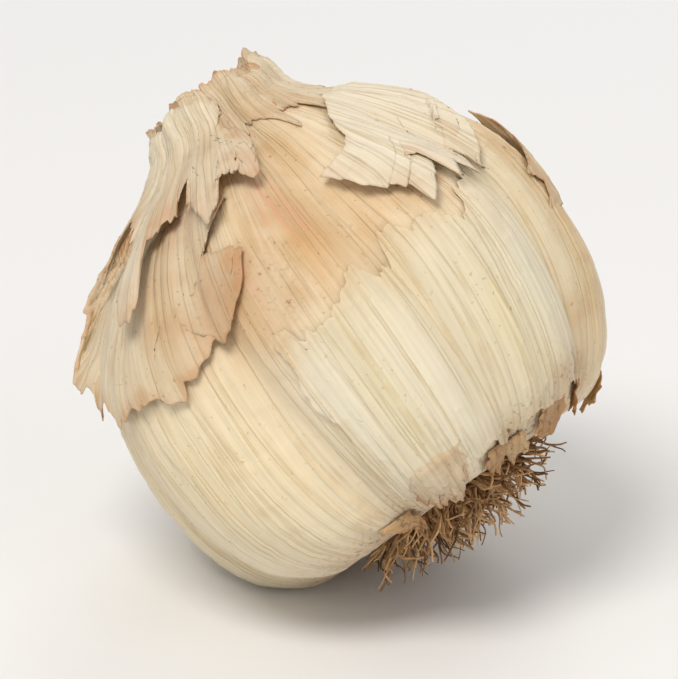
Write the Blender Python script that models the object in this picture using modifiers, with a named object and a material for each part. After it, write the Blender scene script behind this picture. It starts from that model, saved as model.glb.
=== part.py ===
# A garlic bulb lying on a surface: the wrapped cloves with the trimmed neck, the root tuft on its
# corky plate, and the loose torn pieces of the outermost skin. Metres, +Z up, resting on z = 0.
#
# Everything is shaped in the bulb's own frame, with its axis along +Z, the root plate at the foot
# and the neck at the top. One empty then leans that frame over, as the bulb lies.
import math
import random

import bmesh
import bpy
from mathutils import Matrix, Vector, noise

MM = 0.001

# Driving dimensions
BELLY_RADIUS = 28.5 * MM  # to the bottom of the grooves between the cloves
BODY_HEIGHT = 50.0 * MM  # from the heels of the cloves to the foot of the neck
NECK_RADIUS = 8.2 * MM
NECK_TOP = 57.0 * MM
PLATE_RADIUS = 10.4 * MM  # the corky disc that the roots grow from
ROOT_LENGTH = 9.6 * MM
SKIN = 0.6 * MM  # thickness of a loose piece of skin
CLEAR = 0.35 * MM  # air between neighbouring pieces

# How the bulb lies: leaning towards -X and +Y, on the heels of two cloves and its lowest roots
LEAN = math.radians(42)
LEAN_HEADING = math.radians(150)
PLATE_AT = Vector((14.2 * MM, -9.25 * MM, 13.35 * MM))

# The wrapped body
SEGMENTS = 60
ROWS_PER_SPAN = 2
NECK_BEND = Vector((3.2 * MM, -1.6 * MM, 0.0))  # how far the neck's end is off the axis
TWIST = math.radians(14)  # how far the grooves turn about the axis from heel to neck
FIRST_GROOVE = 150.0  # degrees; this groove faces the surface, between the two cloves that touch it
GROOVE_SOFTNESS = 0.17
HEEL_BULGE = 1.25  # a clove's bulge at its heel, of that at its belly
NECK_FOLDS = ((6, 0.7, 0.050), (11, 0.0, 0.035))  # how many, turned by, depth as a share of the radius
RIM_TEAR = 1.5 * MM  # how ragged the neck's two rims are
INNER_RIM_TEAR = 1.1 * MM
DENT = 0.9 * MM
DENTS_PER_METRE = 55
# Width in degrees, how far it stands out, and how much higher its shoulder is than the average
CLOVES = [
    (49, 2.9 * MM, 0.6 * MM),
    (60, 3.4 * MM, -0.4 * MM),
    (43, 2.9 * MM, 1.2 * MM),
    (42, 2.7 * MM, -0.8 * MM),
    (45, 3.3 * MM, 1.0 * MM),
    (39, 2.7 * MM, -0.6 * MM),
    (43, 3.2 * MM, 1.3 * MM),
    (39, 2.9 * MM, -0.9 * MM),
]


def smooth(low, high, value):
    """0 below low, 1 above high, and an even S between them."""
    share = min(1.0, max(0.0, (value - low) / (high - low)))
    return share * share * (3 - 2 * share)


def outline():
    """(radius, height) along the outside of the body, from under the plate over the belly and the
    shoulder to the neck's torn rim, then down between the rolled sheaths to the dry stalk."""
    r, h, n, top = BELLY_RADIUS, BODY_HEIGHT, NECK_RADIUS, NECK_TOP
    plate = PLATE_RADIUS
    dimple = 0.070 * h
    return [
        (0.0, dimple),
        (0.6 * plate, dimple),
        (1.05 * plate, 0.98 * dimple),
        (0.445 * r, 0.022 * h),
        (0.545 * r, 0.000 * h),
        (0.690 * r, 0.030 * h),
        (0.835 * r, 0.105 * h),
        (0.950 * r, 0.245 * h),
        (1.00 * r, 0.420 * h),
        (0.985 * r, 0.570 * h),
        (0.905 * r, 0.700 * h),
        (0.745 * r, 0.830 * h),
        (0.560 * r, 0.935 * h),
        (0.400 * r, 1.010 * h),
        (1.10 * n, 1.070 * h),
        (1.00 * n, 0.985 * top),
        (0.90 * n, top),
        (0.79 * n, 0.975 * top),
        (0.70 * n, 0.945 * top),
        (0.62 * n, 0.975 * top),
        (0.56 * n, 1.025 * top),
        (0.44 * n, 1.020 * top),
        (0.36 * n, 0.970 * top),
        (0.24 * n, 0.965 * top),
        (0.12 * n, 0.995 * top),
        (0.0, 1.000 * top),
    ]


OUTLINE = outline()
SPANS = len(OUTLINE) - 1
RIM, INNER_RIM = 16, 20.5  # where the two torn rims are along the outline, counted in spans


def outline_at(place):
    """(radius, height) on a smooth curve through OUTLINE; place is counted in spans."""
    span = min(SPANS - 1, int(place))
    t = place - span
    near = [OUTLINE[min(SPANS, max(0, span + step))] for step in (-1, 0, 1, 2)]
    weights = (
        ((2 - t) * t - 1) * t / 2,
        ((3 * t - 5) * t * t + 2) / 2,
        ((4 - 3 * t) * t + 1) * t / 2,
        (t - 1) * t * t / 2,
    )
    radius = sum(w * point[0] for w, point in zip(weights, near))
    height = sum(w * point[1] for w, point in zip(weights, near))
    return max(0.0, radius), height


def clove_at(azimuth):
    """(how full the clove is at this azimuth, 0 in a groove to 1 on its crown; bulge; rise)."""
    angle = math.degrees(azimuth)
    start = FIRST_GROOVE
    for width, bulge, rise in CLOVES:
        across = ((angle - start) % 360) / width
        if across < 1:
            break
        start += width
    off_crown = (2 * across - 1) ** 2
    soft = GROOVE_SOFTNESS
    full = (math.hypot(1 - off_crown, soft) - soft) / (math.hypot(1, soft) - soft)
    return full, bulge, rise


def torn(azimuth, phase):
    """A ragged edge: height above the average, -1 to 1 or so."""
    return (
        0.50 * math.sin(3 * azimuth + phase)
        + 0.35 * math.sin(7 * azimuth + 2.3 * phase)
        + 0.25 * math.sin(13 * azimuth + 4.1 * phase)
    )


def body_point(azimuth, place):
    """The point of the wrapped body at this azimuth and this place along the outline."""
    radius, height = outline_at(place)
    full, bulge, rise = clove_at(azimuth + TWIST * height / NECK_TOP)
    outside = smooth(2, 4.2, place) * (1 - smooth(9, 14, place))
    heel = 1 + (HEEL_BULGE - 1) * (1 - smooth(4, 8, place))
    radius += bulge * full * outside * heel
    height += rise * full * smooth(7, 10.5, place) * (1 - smooth(11, 14.5, place))
    # the skins gather into folds as they run up the neck
    gather = smooth(9.5, 13.5, place) * (1 - smooth(16, 19, place))
    radius *= 1 + gather * sum(depth * math.sin(folds * azimuth + turn) for folds, turn, depth in NECK_FOLDS)
    outer = smooth(RIM - 3, RIM, place) * (1 - smooth(RIM, RIM + 2, place))
    inner = smooth(INNER_RIM - 1.5, INNER_RIM, place) * (1 - smooth(INNER_RIM, INNER_RIM + 1.5, place))
    height += RIM_TEAR * torn(azimuth, 1.0) * outer + INNER_RIM_TEAR * torn(azimuth, 2.6) * inner
    across = Vector((math.cos(azimuth), math.sin(azimuth), 0.0))
    point = across * radius
    point.z = height
    # shallow dents, and a neck that bends away from the middle
    dents = noise.noise(point * DENTS_PER_METRE) * DENT * smooth(3, 6, place) * (1 - smooth(12, 15, place))
    bend = smooth(0.6 * BODY_HEIGHT, NECK_TOP, height) ** 1.5
    return point + across * dents + NECK_BEND * bend


def skin_point(azimuth, place, lift):
    """A point lifted off the body along its outward normal."""
    step = 0.02
    point = body_point(azimuth, place)
    round_it = body_point(azimuth + step, place) - body_point(azimuth - step, place)
    up_it = body_point(azimuth, place + step) - body_point(azimuth, place - step)
    return point + round_it.cross(up_it).normalized() * lift


def material(name, colour, roughness):
    """A plain matt finish."""
    made = bpy.data.materials.new(name)
    made.use_nodes = True
    shader = made.node_tree.nodes["Principled BSDF"]
    shader.inputs["Base Color"].default_value = (*colour, 1.0)
    shader.inputs["Roughness"].default_value = roughness
    shader.inputs["Metallic"].default_value = 0.0
    return made


def new_object(name, mesh, finish, collection, pose):
    """A smooth-shaded object in the bulb's own frame."""
    obj = bpy.data.objects.new(name, mesh)
    collection.objects.link(obj)
    obj.parent = pose
    mesh.materials.append(finish)
    mesh.shade_smooth()
    return obj


def lean_matrix():
    """From the bulb's own frame to the world: leant over about a level axis, then set down."""
    level = Vector((-math.sin(LEAN_HEADING), math.cos(LEAN_HEADING), 0.0))
    return Matrix.Translation(PLATE_AT) @ Matrix.Rotation(LEAN, 4, level)


def rest_on_surface(mesh, matrix):
    """Presses whatever would be under z = 0 flat onto it."""
    back = matrix.inverted()
    for vertex in mesh.vertices:
        world = matrix @ vertex.co
        if world.z < 0:
            world.z = 0.0
            vertex.co = back @ world


def make_body(finish, collection, pose, matrix):
    """The cloves in their skins with the neck: a globe whose rows follow the outline."""
    rows = SPANS * ROWS_PER_SPAN
    shape = bmesh.new()
    bmesh.ops.create_uvsphere(shape, u_segments=SEGMENTS, v_segments=rows, radius=1.0)
    for vertex in shape.verts:
        from_pole = math.acos(max(-1.0, min(1.0, -vertex.co.z))) / math.pi
        azimuth = math.atan2(vertex.co.y, vertex.co.x)
        place = round(from_pole * rows) / ROWS_PER_SPAN
        vertex.co = body_point(azimuth, place)
    bmesh.ops.recalc_face_normals(shape, faces=shape.faces)
    mesh = bpy.data.meshes.new("wrapped_bulb")
    shape.to_mesh(mesh)
    shape.free()
    rest_on_surface(mesh, matrix)
    return new_object("wrapped_bulb", mesh, finish, collection, pose)


# The root tuft
ROOTS = 120
ROOT_RADIUS = 0.55 * MM
ROOT_TIP = 0.6  # thickness at the end, of that at the plate
ROOT_STATIONS = 5
ROOT_FIELD = 0.93 * PLATE_RADIUS  # the roots start within this distance of the axis
ROOT_SPREAD = (6, 46)  # degrees from the axis at the middle, and how many more at the plate's edge
PLATE_TOP = 0.070 * BODY_HEIGHT - CLEAR - 0.1 * MM
PLATE_FOOT = 0.4 * MM
GOLDEN_ANGLE = math.pi * (3 - math.sqrt(5))


def root_line(index, rng):
    """The points of one root, from inside the plate to its trimmed end."""
    share = math.sqrt((index + 0.5) / ROOTS)
    azimuth = index * GOLDEN_ANGLE
    start = ROOT_FIELD * share
    spread = math.radians(ROOT_SPREAD[0] + ROOT_SPREAD[1] * share**2) + rng.uniform(-0.10, 0.10)
    length = ROOT_LENGTH * (1.06 - 0.22 * share + rng.uniform(-0.14, 0.10))
    curl = rng.uniform(-0.8, 0.8)
    points = []
    for station in range(ROOT_STATIONS):
        along = station / (ROOT_STATIONS - 1)
        out = start + along * length * math.sin(spread)
        turn = azimuth + curl * 0.16 * along**2
        down = PLATE_FOOT + 0.9 * MM - along * length * math.cos(spread)
        points.append(Vector((out * math.cos(turn), out * math.sin(turn), down)))
    return points


def keep_above_surface(points, matrix):
    """Roots that would reach the surface bend along it."""
    back = matrix.inverted()
    kept = []
    for point in points:
        world = matrix @ point
        world.z = max(world.z, 0.4 * ROOT_TIP * ROOT_RADIUS)
        kept.append(back @ world)
    return kept


def make_root(points, collection):
    """One root as a closed four-sided tube that thins towards its end."""
    line = bpy.data.curves.new("root_line", "CURVE")
    line.dimensions = "3D"
    line.bevel_depth = ROOT_RADIUS
    line.bevel_resolution = 0
    line.use_fill_caps = True
    spline = line.splines.new("POLY")
    spline.points.add(len(points) - 1)
    for place, point in enumerate(points):
        spline.points[place].co = (*point, 1.0)
        spline.points[place].radius = 1.0 - (1 - ROOT_TIP) * place / (len(points) - 1)
    guide = bpy.data.objects.new("root_line", line)
    collection.objects.link(guide)
    evaluated = guide.evaluated_get(bpy.context.evaluated_depsgraph_get())
    mesh = bpy.data.meshes.new_from_object(evaluated)
    shape = bmesh.new()
    shape.from_mesh(mesh)
    bmesh.ops.remove_doubles(shape, verts=shape.verts, dist=0.001 * MM)
    bmesh.ops.recalc_face_normals(shape, faces=shape.faces)
    shape.to_mesh(mesh)
    shape.free()
    root = bpy.data.objects.new("root", mesh)
    root.matrix_world = guide.matrix_world
    collection.objects.link(root)
    bpy.data.objects.remove(guide)
    return root


def make_plate():
    """The corky plate: a shallow cone with a softened edge."""
    shape = bmesh.new()
    bmesh.ops.create_cone(
        shape,
        cap_ends=True,
        segments=32,
        radius1=0.92 * PLATE_RADIUS,
        radius2=PLATE_RADIUS,
        depth=PLATE_TOP - PLATE_FOOT,
    )
    bmesh.ops.translate(shape, verts=shape.verts, vec=(0, 0, (PLATE_TOP + PLATE_FOOT) / 2))
    mesh = bpy.data.meshes.new("root_tuft")
    shape.to_mesh(mesh)
    shape.free()
    return mesh


def make_root_tuft(finish, collection, pose, matrix):
    """The plate with its roots grown into it, as one body."""
    rng = random.Random(7)
    roots = bpy.data.collections.new("roots_to_join")
    bpy.context.scene.collection.children.link(roots)
    for index in range(ROOTS):
        make_root(keep_above_surface(root_line(index, rng), matrix), roots)
    tuft = bpy.data.objects.new("root_tuft", make_plate())
    collection.objects.link(tuft)
    join = tuft.modifiers.new("join_roots", "BOOLEAN")
    join.operation = "UNION"
    join.operand_type = "COLLECTION"
    join.collection = roots
    join.solver = "EXACT"
    join.use_self = True
    bpy.context.view_layer.update()
    evaluated = tuft.evaluated_get(bpy.context.evaluated_depsgraph_get())
    joined = bpy.data.meshes.new_from_object(evaluated)
    for obj in [tuft, *roots.objects]:
        bpy.data.objects.remove(obj)
    bpy.data.collections.remove(roots)
    joined.materials.clear()
    rest_on_surface(joined, matrix)
    return new_object("root_tuft", joined, finish, collection, pose)


# Loose pieces of the outermost skin. Each is held along its foot, close on the body, and stands off
# it towards a torn free edge. Azimuths are in degrees, and askew is how far the foot is turned from
# the free edge. Foot and tips are places along the outline, in spans; tips and stand-offs are given
# at one side, in the middle and at the other side.
SIDE_FRAY = 0.10  # how far the sides wander, of the half width
TEAR = 0.28  # how deep the bays of the torn edge go, of the length
PLEAT = 0.30 * MM
FOOT_GAP = CLEAR + 0.15 * MM
FLAPS = {
    "loose_skin_left": {
        "azimuth": 206, "half_width": 56, "askew": 0, "foot": 11.9, "tips": (12.4, 8.3, 9.2),
        "stand_off": (9.4 * MM, 2.2 * MM, 0.3 * MM), "tears": 3.1, "phase": 0.6, "columns": 20, "rows": 8,
    },
    "loose_skin_collar": {
        "azimuth": 220, "half_width": 60, "askew": 0, "foot": 14.4, "tips": (10.9, 10.5, 9.4),
        "stand_off": (2.6 * MM, 2.6 * MM, 2.4 * MM), "tears": 4.3, "phase": 2.2, "columns": 20, "rows": 6,
    },
    "loose_skin_front": {
        "azimuth": 324, "half_width": 25, "askew": 38, "foot": 12.4, "tips": (9.4, 8.8, 8.8),
        "stand_off": (1.4 * MM, 1.2 * MM, 1.6 * MM), "tears": 3.4, "phase": 5.0, "columns": 15, "rows": 6,
    },
    "loose_skin_crown": {
        "azimuth": 10, "half_width": 17, "askew": 0, "foot": 8.0, "tips": (9.6, 10.1, 9.4),
        "stand_off": (1.6 * MM, 1.8 * MM, 1.4 * MM), "tears": 2.2, "phase": 3.1, "columns": 9, "rows": 6,
    },
    "loose_skin_heel": {
        "azimuth": 275, "half_width": 11, "askew": 0, "foot": 6.1, "tips": (5.0, 4.5, 4.9),
        "stand_off": (0.6 * MM, 1.6 * MM, 1.0 * MM), "tears": 3.6, "phase": 1.2, "columns": 9, "rows": 5,
    },
    "loose_skin_back": {
        "azimuth": 88, "half_width": 43, "askew": 0, "foot": 7.6, "tips": (10.2, 10.8, 9.7),
        "stand_off": (1.6 * MM, 3.0 * MM, 2.0 * MM), "tears": 3.6, "phase": 4.2, "columns": 17, "rows": 6,
    },
}


def between(three, across):
    """A value that is given at -1, 0 and +1."""
    first, middle, last = three
    return middle + across * (last - first) / 2 + across**2 * (first + last - 2 * middle) / 2


def shreds(across, flap):
    """A torn edge: 1 at the tips of its pointed shreds, 0 in the bays between them."""
    wide = 1 - abs(math.sin(flap["tears"] * across + flap["phase"]))
    narrow = 1 - abs(math.sin(2.7 * flap["tears"] * across + 2.1 * flap["phase"]))
    return 0.65 * wide + 0.35 * narrow


def flap_point(flap, across, along):
    """across runs from -1 to 1 over the piece's width, along from 0 at its foot to 1 at its edge."""
    frayed = SIDE_FRAY * math.sin(9 * along + 5 * flap["phase"] + 2 * across)
    aside = (across + frayed * across) * flap["half_width"] + flap["askew"] * (1 - along)
    azimuth = math.radians(flap["azimuth"] + aside)
    length = (1 - TEAR + TEAR * shreds(across, flap)) * (1 - 0.25 * across**4)
    place = flap["foot"] + (between(flap["tips"], across) - flap["foot"]) * along * length
    pleats = PLEAT * math.sin(11 * across + flap["phase"]) * along
    lift = FOOT_GAP + between(flap["stand_off"], across) * (along * length) ** 1.7
    return skin_point(azimuth, place, lift + abs(pleats))


def make_flap(name, flap, finish, collection, pose):
    """A grid laid over the body, lifted towards its torn edge and thickened outwards."""
    shape = bmesh.new()
    bmesh.ops.create_grid(shape, x_segments=flap["columns"], y_segments=flap["rows"], size=1.0)
    for vertex in shape.verts:
        vertex.co = flap_point(flap, vertex.co.x, (vertex.co.y + 1) / 2)
    if flap["tips"][1] < flap["foot"]:
        bmesh.ops.reverse_faces(shape, faces=shape.faces)
    mesh = bpy.data.meshes.new(name)
    shape.to_mesh(mesh)
    shape.free()
    obj = new_object(name, mesh, finish, collection, pose)
    thick = obj.modifiers.new("thickness", "SOLIDIFY")
    thick.thickness = SKIN
    thick.offset = 1.0
    return obj


def main():
    for obj in list(bpy.data.objects):
        bpy.data.objects.remove(obj)
    collection = bpy.data.collections.new("garlic_bulb")
    bpy.context.scene.collection.children.link(collection)
    matrix = lean_matrix()
    pose = bpy.data.objects.new("bulb_axis", None)
    pose.matrix_world = matrix
    collection.objects.link(pose)

    wrapper = material("papery_wrapper", (0.76, 0.66, 0.48), 0.55)
    outer_skin = material("loose_outer_skin", (0.80, 0.71, 0.56), 0.60)
    dry_root = material("dry_root", (0.30, 0.19, 0.09), 0.85)

    make_body(wrapper, collection, pose, matrix)
    make_root_tuft(dry_root, collection, pose, matrix)
    for name, flap in FLAPS.items():
        make_flap(name, flap, outer_skin, collection, pose)


main()
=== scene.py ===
# The looks of a garlic bulb lying on a pale surface: its papery wrapper, the loose torn skins, the
# frayed neck, and the dry roots on their corky plate. Lengths are in metres, unless a note says otherwise.
import math
import random

import bmesh
import bpy
from mathutils import Matrix, Vector, noise


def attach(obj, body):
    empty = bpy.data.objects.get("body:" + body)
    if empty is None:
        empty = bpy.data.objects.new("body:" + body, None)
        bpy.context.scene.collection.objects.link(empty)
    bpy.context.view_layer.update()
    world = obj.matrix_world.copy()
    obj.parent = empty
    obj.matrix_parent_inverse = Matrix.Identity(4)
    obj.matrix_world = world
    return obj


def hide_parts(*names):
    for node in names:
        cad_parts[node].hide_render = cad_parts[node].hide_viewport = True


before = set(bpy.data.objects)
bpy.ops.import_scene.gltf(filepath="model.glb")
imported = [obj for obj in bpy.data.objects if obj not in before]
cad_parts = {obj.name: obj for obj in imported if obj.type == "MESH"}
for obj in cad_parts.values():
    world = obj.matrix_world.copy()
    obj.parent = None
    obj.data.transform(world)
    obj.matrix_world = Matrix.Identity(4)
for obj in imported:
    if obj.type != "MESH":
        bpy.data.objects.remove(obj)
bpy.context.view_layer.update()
mm = 0.001

# The bulb's own frame has its axis along +Z, the root plate at the foot and the neck at the top.
# These values are the frame's, and everything below is worked out from them.
bulb = {
    "bellyRadius": 28.5 * mm,  # to the bottom of the grooves between the cloves
    "bodyHeight": 50.0 * mm,
    "neckRadius": 8.2 * mm,
    "neckTop": 57.0 * mm,
    "neckBend": Vector((3.2 * mm, -1.6 * mm, 0.0)),
    "plateRadius": 10.4 * mm,
    "rootLength": 9.6 * mm,
    "clear": 0.35 * mm,  # how far the loose skins stay off the body
    "lean": math.radians(42),
    "leanHeading": math.radians(150),
    "plateAt": Vector((14.2 * mm, -9.25 * mm, 13.35 * mm)),
    "twist": math.radians(14),
    "firstGroove": 150.0,
    "grooveSoftness": 0.17,
    # width in degrees, how far it stands out, how much higher its shoulder is
    "cloves": [
        (49, 2.9 * mm, 0.6 * mm),
        (60, 3.4 * mm, -0.4 * mm),
        (43, 2.9 * mm, 1.2 * mm),
        (42, 2.7 * mm, -0.8 * mm),
        (45, 3.3 * mm, 1.0 * mm),
        (39, 2.7 * mm, -0.6 * mm),
        (43, 3.2 * mm, 1.3 * mm),
        (39, 2.9 * mm, -0.9 * mm),
    ],
}


# The forms of the body. Two pairs are where a form fades in and out along the outline, in spans.
bodyForm = {
    "cloves": ((2, 4.2), (9, 14)),
    "heelFades": (4, 8),
    "heelBulge": 0.25,  # how much more the cloves bulge at the heel
    "rises": ((7, 10.5), (11, 14.5)),
    "gathered": ((9.5, 13.5), (16, 19)),
    "gathers": ((6, 0.7, 0.050), (11, 0.0, 0.035)),  # how many around the neck, phase, share of radius
    "rim": ((13, 16), (16, 18)),
    "rimTear": 1.5 * mm,
    "innerRim": ((19.0, 20.5), (20.5, 22.0)),
    "innerRimTear": 1.1 * mm,
    "tearWaves": ((3, 1.0, 0.50), (7, 2.3, 0.35), (13, 4.1, 0.25)),  # how many, share of phase, size
    "dented": ((3, 6), (12, 15)),
    "dentsPerMetre": 55,
    "dent": 0.9 * mm,
    "bendFrom": 0.6,  # share of the body's height at which the neck starts to bend
    "bendPower": 1.5,
}


def smoothStep(low, high, value):
    share = min(1.0, max(0.0, (value - low) / (high - low)))
    return share * share * (3 - 2 * share)


def fadeInOut(place, fades):
    fadeIn, fadeOut = fades
    return smoothStep(*fadeIn, place) * (1 - smoothStep(*fadeOut, place))


def bulbOutline():
    r, h, n, top = bulb["bellyRadius"], bulb["bodyHeight"], bulb["neckRadius"], bulb["neckTop"]
    plate = bulb["plateRadius"]
    dimple = 0.070 * h
    return [
        (0.0, dimple),
        (0.6 * plate, dimple),
        (1.05 * plate, 0.98 * dimple),
        (0.445 * r, 0.022 * h),
        (0.545 * r, 0.000 * h),
        (0.690 * r, 0.030 * h),
        (0.835 * r, 0.105 * h),
        (0.950 * r, 0.245 * h),
        (1.00 * r, 0.420 * h),
        (0.985 * r, 0.570 * h),
        (0.905 * r, 0.700 * h),
        (0.745 * r, 0.830 * h),
        (0.560 * r, 0.935 * h),
        (0.400 * r, 1.010 * h),
        (1.10 * n, 1.070 * h),
        (1.00 * n, 0.985 * top),
        (0.90 * n, top),
        (0.79 * n, 0.975 * top),
        (0.70 * n, 0.945 * top),
        (0.62 * n, 0.975 * top),
        (0.56 * n, 1.025 * top),
        (0.44 * n, 1.020 * top),
        (0.36 * n, 0.970 * top),
        (0.24 * n, 0.965 * top),
        (0.12 * n, 0.995 * top),
        (0.0, 1.000 * top),
    ]


# A place along the outline is counted in spans, from one of its points to the next
outlinePoints = bulbOutline()
outlineSpans = len(outlinePoints) - 1


def outlineAt(place):
    # a smooth curve through the outline's points
    span = min(outlineSpans - 1, int(place))
    t = place - span
    near = [outlinePoints[min(outlineSpans, max(0, span + step))] for step in (-1, 0, 1, 2)]
    weights = (
        ((2 - t) * t - 1) * t / 2,
        ((3 * t - 5) * t * t + 2) / 2,
        ((4 - 3 * t) * t + 1) * t / 2,
        (t - 1) * t * t / 2,
    )
    radius = sum(w * point[0] for w, point in zip(weights, near))
    height = sum(w * point[1] for w, point in zip(weights, near))
    return max(0.0, radius), height


def cloveAt(azimuth, height):
    # how full the clove is here, 0 in a groove and 1 on its crown, with its bulge and rise
    angle = math.degrees(azimuth + bulb["twist"] * height / bulb["neckTop"])
    start = bulb["firstGroove"]
    for width, bulge, rise in bulb["cloves"]:
        across = ((angle - start) % 360) / width
        if across < 1:
            break
        start += width
    offCrown = (2 * across - 1) ** 2
    soft = bulb["grooveSoftness"]
    full = (math.hypot(1 - offCrown, soft) - soft) / (math.hypot(1, soft) - soft)
    return full, bulge, rise


def tornRim(azimuth, phase):
    return sum(size * math.sin(many * azimuth + part * phase) for many, part, size in bodyForm["tearWaves"])


def neckBendAt(height):
    bendFrom = bodyForm["bendFrom"] * bulb["bodyHeight"]
    return bulb["neckBend"] * smoothStep(bendFrom, bulb["neckTop"], height) ** bodyForm["bendPower"]


def bodyPoint(azimuth, place):
    # the wrapped body's surface in the bulb's own frame, the same as the frame's solid
    form = bodyForm
    radius, height = outlineAt(place)
    full, bulge, rise = cloveAt(azimuth, height)
    heel = 1 + form["heelBulge"] * (1 - smoothStep(*form["heelFades"], place))
    radius += bulge * full * fadeInOut(place, form["cloves"]) * heel
    height += rise * full * fadeInOut(place, form["rises"])
    gathers = sum(size * math.sin(many * azimuth + phase) for many, phase, size in form["gathers"])
    radius *= 1 + fadeInOut(place, form["gathered"]) * gathers
    height += form["rimTear"] * tornRim(azimuth, 1.0) * fadeInOut(place, form["rim"])
    height += form["innerRimTear"] * tornRim(azimuth, 2.6) * fadeInOut(place, form["innerRim"])
    across = Vector((math.cos(azimuth), math.sin(azimuth), 0.0))
    point = across * radius
    point.z = height
    dents = noise.noise(point * form["dentsPerMetre"]) * form["dent"]
    dents *= fadeInOut(place, form["dented"])
    return point + across * dents + neckBendAt(height)


def liftedPoint(azimuth, place, lift):
    # a point lifted off the body along its outward normal
    step = 0.02
    point = bodyPoint(azimuth, place)
    roundIt = bodyPoint(azimuth + step, place) - point
    upIt = bodyPoint(azimuth, place + step) - point
    return point + roundIt.cross(upIt).normalized() * lift


def leanMatrix():
    heading = bulb["leanHeading"]
    level = Vector((-math.sin(heading), math.cos(heading), 0.0))
    return Matrix.Translation(bulb["plateAt"]) @ Matrix.Rotation(bulb["lean"], 4, level)


lean = leanMatrix()


def ringNoise(azimuth, place, pattern, x=0.0, y=0.0):
    # noise with so many features around the bulb, that changes by so much from span to span
    around, change = pattern
    size = around / (2 * math.pi)
    ring = Vector((math.cos(azimuth) * size, math.sin(azimuth) * size, 0.0))
    return noise.noise(ring + Vector((x, y, place * change)))


def ridge(value, sharpness, power):
    # 1 where the value is zero, and 0 on both sides of it
    return (1 - min(1.0, abs(value) * sharpness)) ** power


# The skin's parallel veins, as low ridges that run from the roots to the neck. A pattern is how
# many there are around the bulb and how much they change in a span.
veinForm = {
    "veins": (96, 0.12),  # 2 mm apart at the belly
    "bends": (14, 0.25),
    "wander": 0.05,  # radians that a vein strays at a bend
    "shape": (3.2, 2),  # sharpness and power of the ridge
}


def veinRelief(azimuth, place):
    wander = veinForm["wander"] * ringNoise(azimuth, place, veinForm["bends"], x=7.0)
    return ridge(ringNoise(azimuth + wander, place, veinForm["veins"]), *veinForm["shape"])


def linearColour(code):
    # an sRGB hex colour as the linear values that Blender's sockets take
    channels = [int(code[i:i + 2], 16) / 255 for i in (1, 3, 5)]
    return tuple(c / 12.92 if c <= 0.04045 else ((c + 0.055) / 1.055) ** 2.4 for c in channels) + (1.0,)


def addNode(tree, kind, inputs=None, stops=None, **settings):
    # a node with its settings; an input is a value, or a socket to link from
    node = tree.nodes.new(kind)
    for name, value in settings.items():
        setattr(node, name, value)
    for key, value in (inputs or {}).items():
        if isinstance(value, bpy.types.NodeSocket):
            tree.links.new(value, node.inputs[key])
        else:
            node.inputs[key].default_value = value
    for index, (place, colour) in enumerate(stops or []):
        ramp = node.color_ramp.elements
        stop = ramp[index] if index < len(ramp) else ramp.new(place)
        stop.position = place
        stop.color = colour if isinstance(colour, tuple) else (colour, colour, colour, 1.0)
    return node


def newMaterial(name):
    material = bpy.data.materials.new(name)
    material.use_nodes = True
    material.node_tree.nodes.clear()
    return material, material.node_tree


def addNoise(tree, vector, scale, detail):
    return addNode(
        tree, "ShaderNodeTexNoise", {"Vector": vector, "Scale": scale, "Detail": detail}
    ).outputs["Fac"]


def addRelief(tree, look, height):
    return addNode(
        tree, "ShaderNodeBump",
        {"Height": height, "Strength": look["reliefStrength"], "Distance": look["relief"]},
    ).outputs[0]


def addSurface(tree, look, colour, roughness, relief, more=None):
    # the shader that all parts of the bulb share; more holds inputs that only some of them have
    inputs = {
        "Base Color": colour, "Roughness": roughness, "Normal": relief, "IOR": look["ior"],
        "Specular IOR Level": look["gloss"],
    }
    return addNode(tree, "ShaderNodeBsdfPrincipled", {**inputs, **(more or {})}).outputs[0]


def addPiece(name, mesh, material):
    piece = bpy.data.objects.new(name, mesh)
    bpy.context.scene.collection.objects.link(piece)
    mesh.materials.clear()
    mesh.materials.append(material)
    mesh.shade_smooth()
    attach(piece, "root")
    return piece


def setAttributes(mesh, rows):
    # rows of named vectors, one row for each vertex
    for name in rows[0]:
        layer = mesh.attributes.new(name, "FLOAT_VECTOR", "POINT")
        layer.data.foreach_set("vector", [part for row in rows for part in row[name]])


def thicken(piece, thickness):
    solid = piece.modifiers.new("thickness", "SOLIDIFY")
    solid.thickness = thickness
    solid.offset = 1.0


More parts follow.
